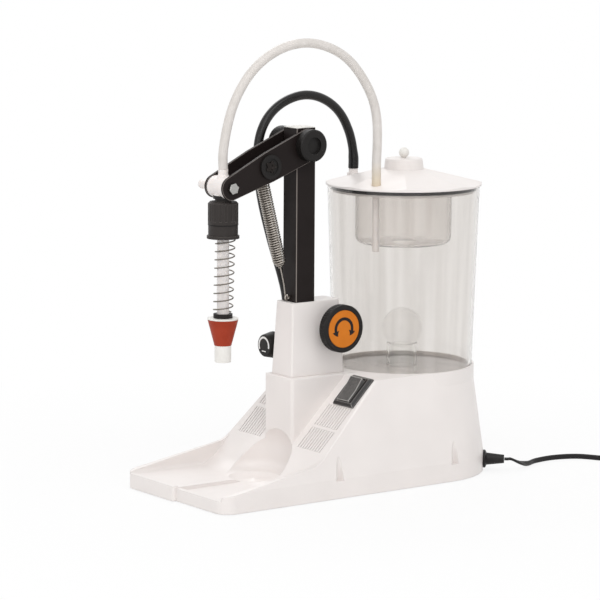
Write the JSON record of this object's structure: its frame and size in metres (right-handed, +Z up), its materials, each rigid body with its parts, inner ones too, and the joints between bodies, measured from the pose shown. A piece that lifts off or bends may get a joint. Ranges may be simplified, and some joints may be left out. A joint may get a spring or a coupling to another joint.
{
  "type": "wine bottle filler",
  "caption": "Tabletop vacuum wine bottle filler: sprung nozzle on a hinged arm and sliding column, white base with bottle tray, and a clear overflow vessel joined by hoses.",
  "frame": {"origin": "middle of the base's footprint, on the table", "axes": "+Z up, +X from the bottle tray to the overflow vessel, -Y the side with the switch and the clamp knob"},
  "size_m": [0.625, 0.2892, 0.4859],
  "materials": {
    "white_abs": "moulded satin gloss",
    "black_paint": "satin powder coat",
    "black_plastic": "fine moulded texture",
    "bright_steel": "drawn and plated",
    "milky_plastic": "natural translucent",
    "clear_plastic": "clear polished",
    "red_rubber": "moulded satin",
    "black_rubber": "satin",
    "clear_vinyl": "clear, slightly milky",
    "orange_plastic": "plain printed disc",
    "pump_metal": "cast",
    "motor_steel": "plain"
  },
  "bodies": {
    "base": {"base_shell": "white_abs", "bottom_plate": "black_plastic", "rubber_feet": "black_rubber", "bottom_screws": "bright_steel", "column_tower": "white_abs", "switch_frame": "black_plastic", "pump_motor": "motor_steel", "pump_head": "pump_metal", "pump_mounts": "black_rubber", "pump_hose": "black_rubber", "regulator_body": "black_plastic", "vessel": "clear_plastic", "clear_hose": "clear_vinyl", "black_hose": "black_rubber", "mains_gland": "black_rubber", "mains_cord": "black_rubber", "cord_coil": "black_rubber", "coil_tie": "black_plastic", "mains_plug": "black_plastic"},
    "column": {"column_tube": "black_paint", "column_cap": "milky_plastic", "spring_eye": "bright_steel", "pivot_shaft": "bright_steel", "pivot_bushes": "black_plastic", "pivot_cap_near": "black_plastic", "pivot_cap_far": "black_plastic", "arm_spring": "bright_steel"},
    "arm": {"arm_plate_near": "black_paint", "arm_plate_far": "black_paint", "spring_pin": "black_plastic", "spring_pin_nut": "black_plastic"},
    "spring_top": {"spring_hook": "bright_steel"},
    "nozzle": {"tee_body": "milky_plastic", "tee_bolt": "bright_steel", "grip_nut": "black_plastic", "collar": "black_plastic", "fill_tube": "milky_plastic", "return_tube": "milky_plastic", "nozzle_tip": "milky_plastic", "nozzle_spring": "bright_steel"},
    "cone": {"cone_ring": "black_plastic", "cone_disc": "milky_plastic", "seal_cone": "red_rubber"},
    "clamp": {"clamp_shaft": "bright_steel", "clamp_knob": "black_plastic", "clamp_knob_disc": "orange_plastic"},
    "shoe": {"brake_shoe": "black_plastic"},
    "regulator": {"regulator_knob": "black_plastic"},
    "switch": {"switch_rocker": "black_plastic"},
    "lid": {"lid": "white_abs", "lid_seal": "black_rubber", "splash_cup": "milky_plastic", "dip_pipe": "milky_plastic"},
    "vent": {"vent_knob": "milky_plastic"},
    "float": {"float_ball": "clear_plastic"}
  },
  "joints": [
    {"name": "column_slide", "type": "slide", "parent": "base", "child": "column", "axis": [0, 0, 1], "range_m": [0, 0.13], "deforming": ["clear_hose"]},
    {"name": "arm_hinge", "type": "hinge", "parent": "column", "child": "arm", "pos_m": [-0.0346, 0, 0.372], "axis": [0, 1, 0], "range_deg": [0, 37.5], "stiffness_Nm_per_rad": 1.5, "springref_deg": -8.59, "deforming": ["clear_hose", "arm_spring"]},
    {"name": "spring_stretch", "type": "slide", "parent": "column", "child": "spring_top", "axis": [0, 0, 1], "range_m": [0, 0.03531], "deforming": ["arm_spring"]},
    {"name": "nozzle_hinge", "type": "hinge", "parent": "arm", "child": "nozzle", "pos_m": [-0.13413, 0, 0.33138], "axis": [0, 1, 0], "range_deg": [-37.6, 0], "deforming": ["clear_hose"]},
    {"name": "cone_slide", "type": "slide", "parent": "nozzle", "child": "cone", "axis": [0, 0, 1], "range_m": [0, 0.04], "stiffness_N_per_m": 120, "springref_m": -0.03, "deforming": ["nozzle_spring"]},
    {"name": "clamp_turn", "type": "hinge", "parent": "base", "child": "clamp", "pos_m": [-0.002, 0, 0.173], "axis": [0, 1, 0], "range_deg": [0, 120]},
    {"name": "shoe_slide", "type": "slide", "parent": "base", "child": "shoe", "axis": [1, 0, 0], "range_m": [0, 0.0016]},
    {"name": "regulator_turn", "type": "hinge", "parent": "base", "child": "regulator", "pos_m": [-0.057, 0.033, 0.15], "axis": [1, 0, 0], "range_deg": [0, 270]},
    {"name": "switch_rock", "type": "hinge", "parent": "base", "child": "switch", "pos_m": [-0.00138, -0.059, 0.10488], "axis": [0, 1, 0], "range_deg": [0, 12]},
    {"name": "lid_lift", "type": "slide", "parent": "base", "child": "lid", "axis": [0, 0, 1], "range_m": [0, 0.08], "deforming": ["clear_hose", "black_hose"]},
    {"name": "vent_pull", "type": "slide", "parent": "lid", "child": "vent", "axis": [0, 0, 1], "range_m": [0, 0.004], "stiffness_N_per_m": 200, "springref_m": -0.002},
    {"name": "float_rise", "type": "slide", "parent": "base", "child": "float", "axis": [0, 0, 1], "range_m": [0, 0.0767]}
  ],
  "couplings": [
    {"joint": "spring_stretch", "follows": "arm_hinge", "m_per_rad": 0.05364},
    {"joint": "nozzle_hinge", "follows": "arm_hinge", "ratio": -1},
    {"joint": "shoe_slide", "follows": "clamp_turn", "m_per_rad": 0.000716}
  ]
}
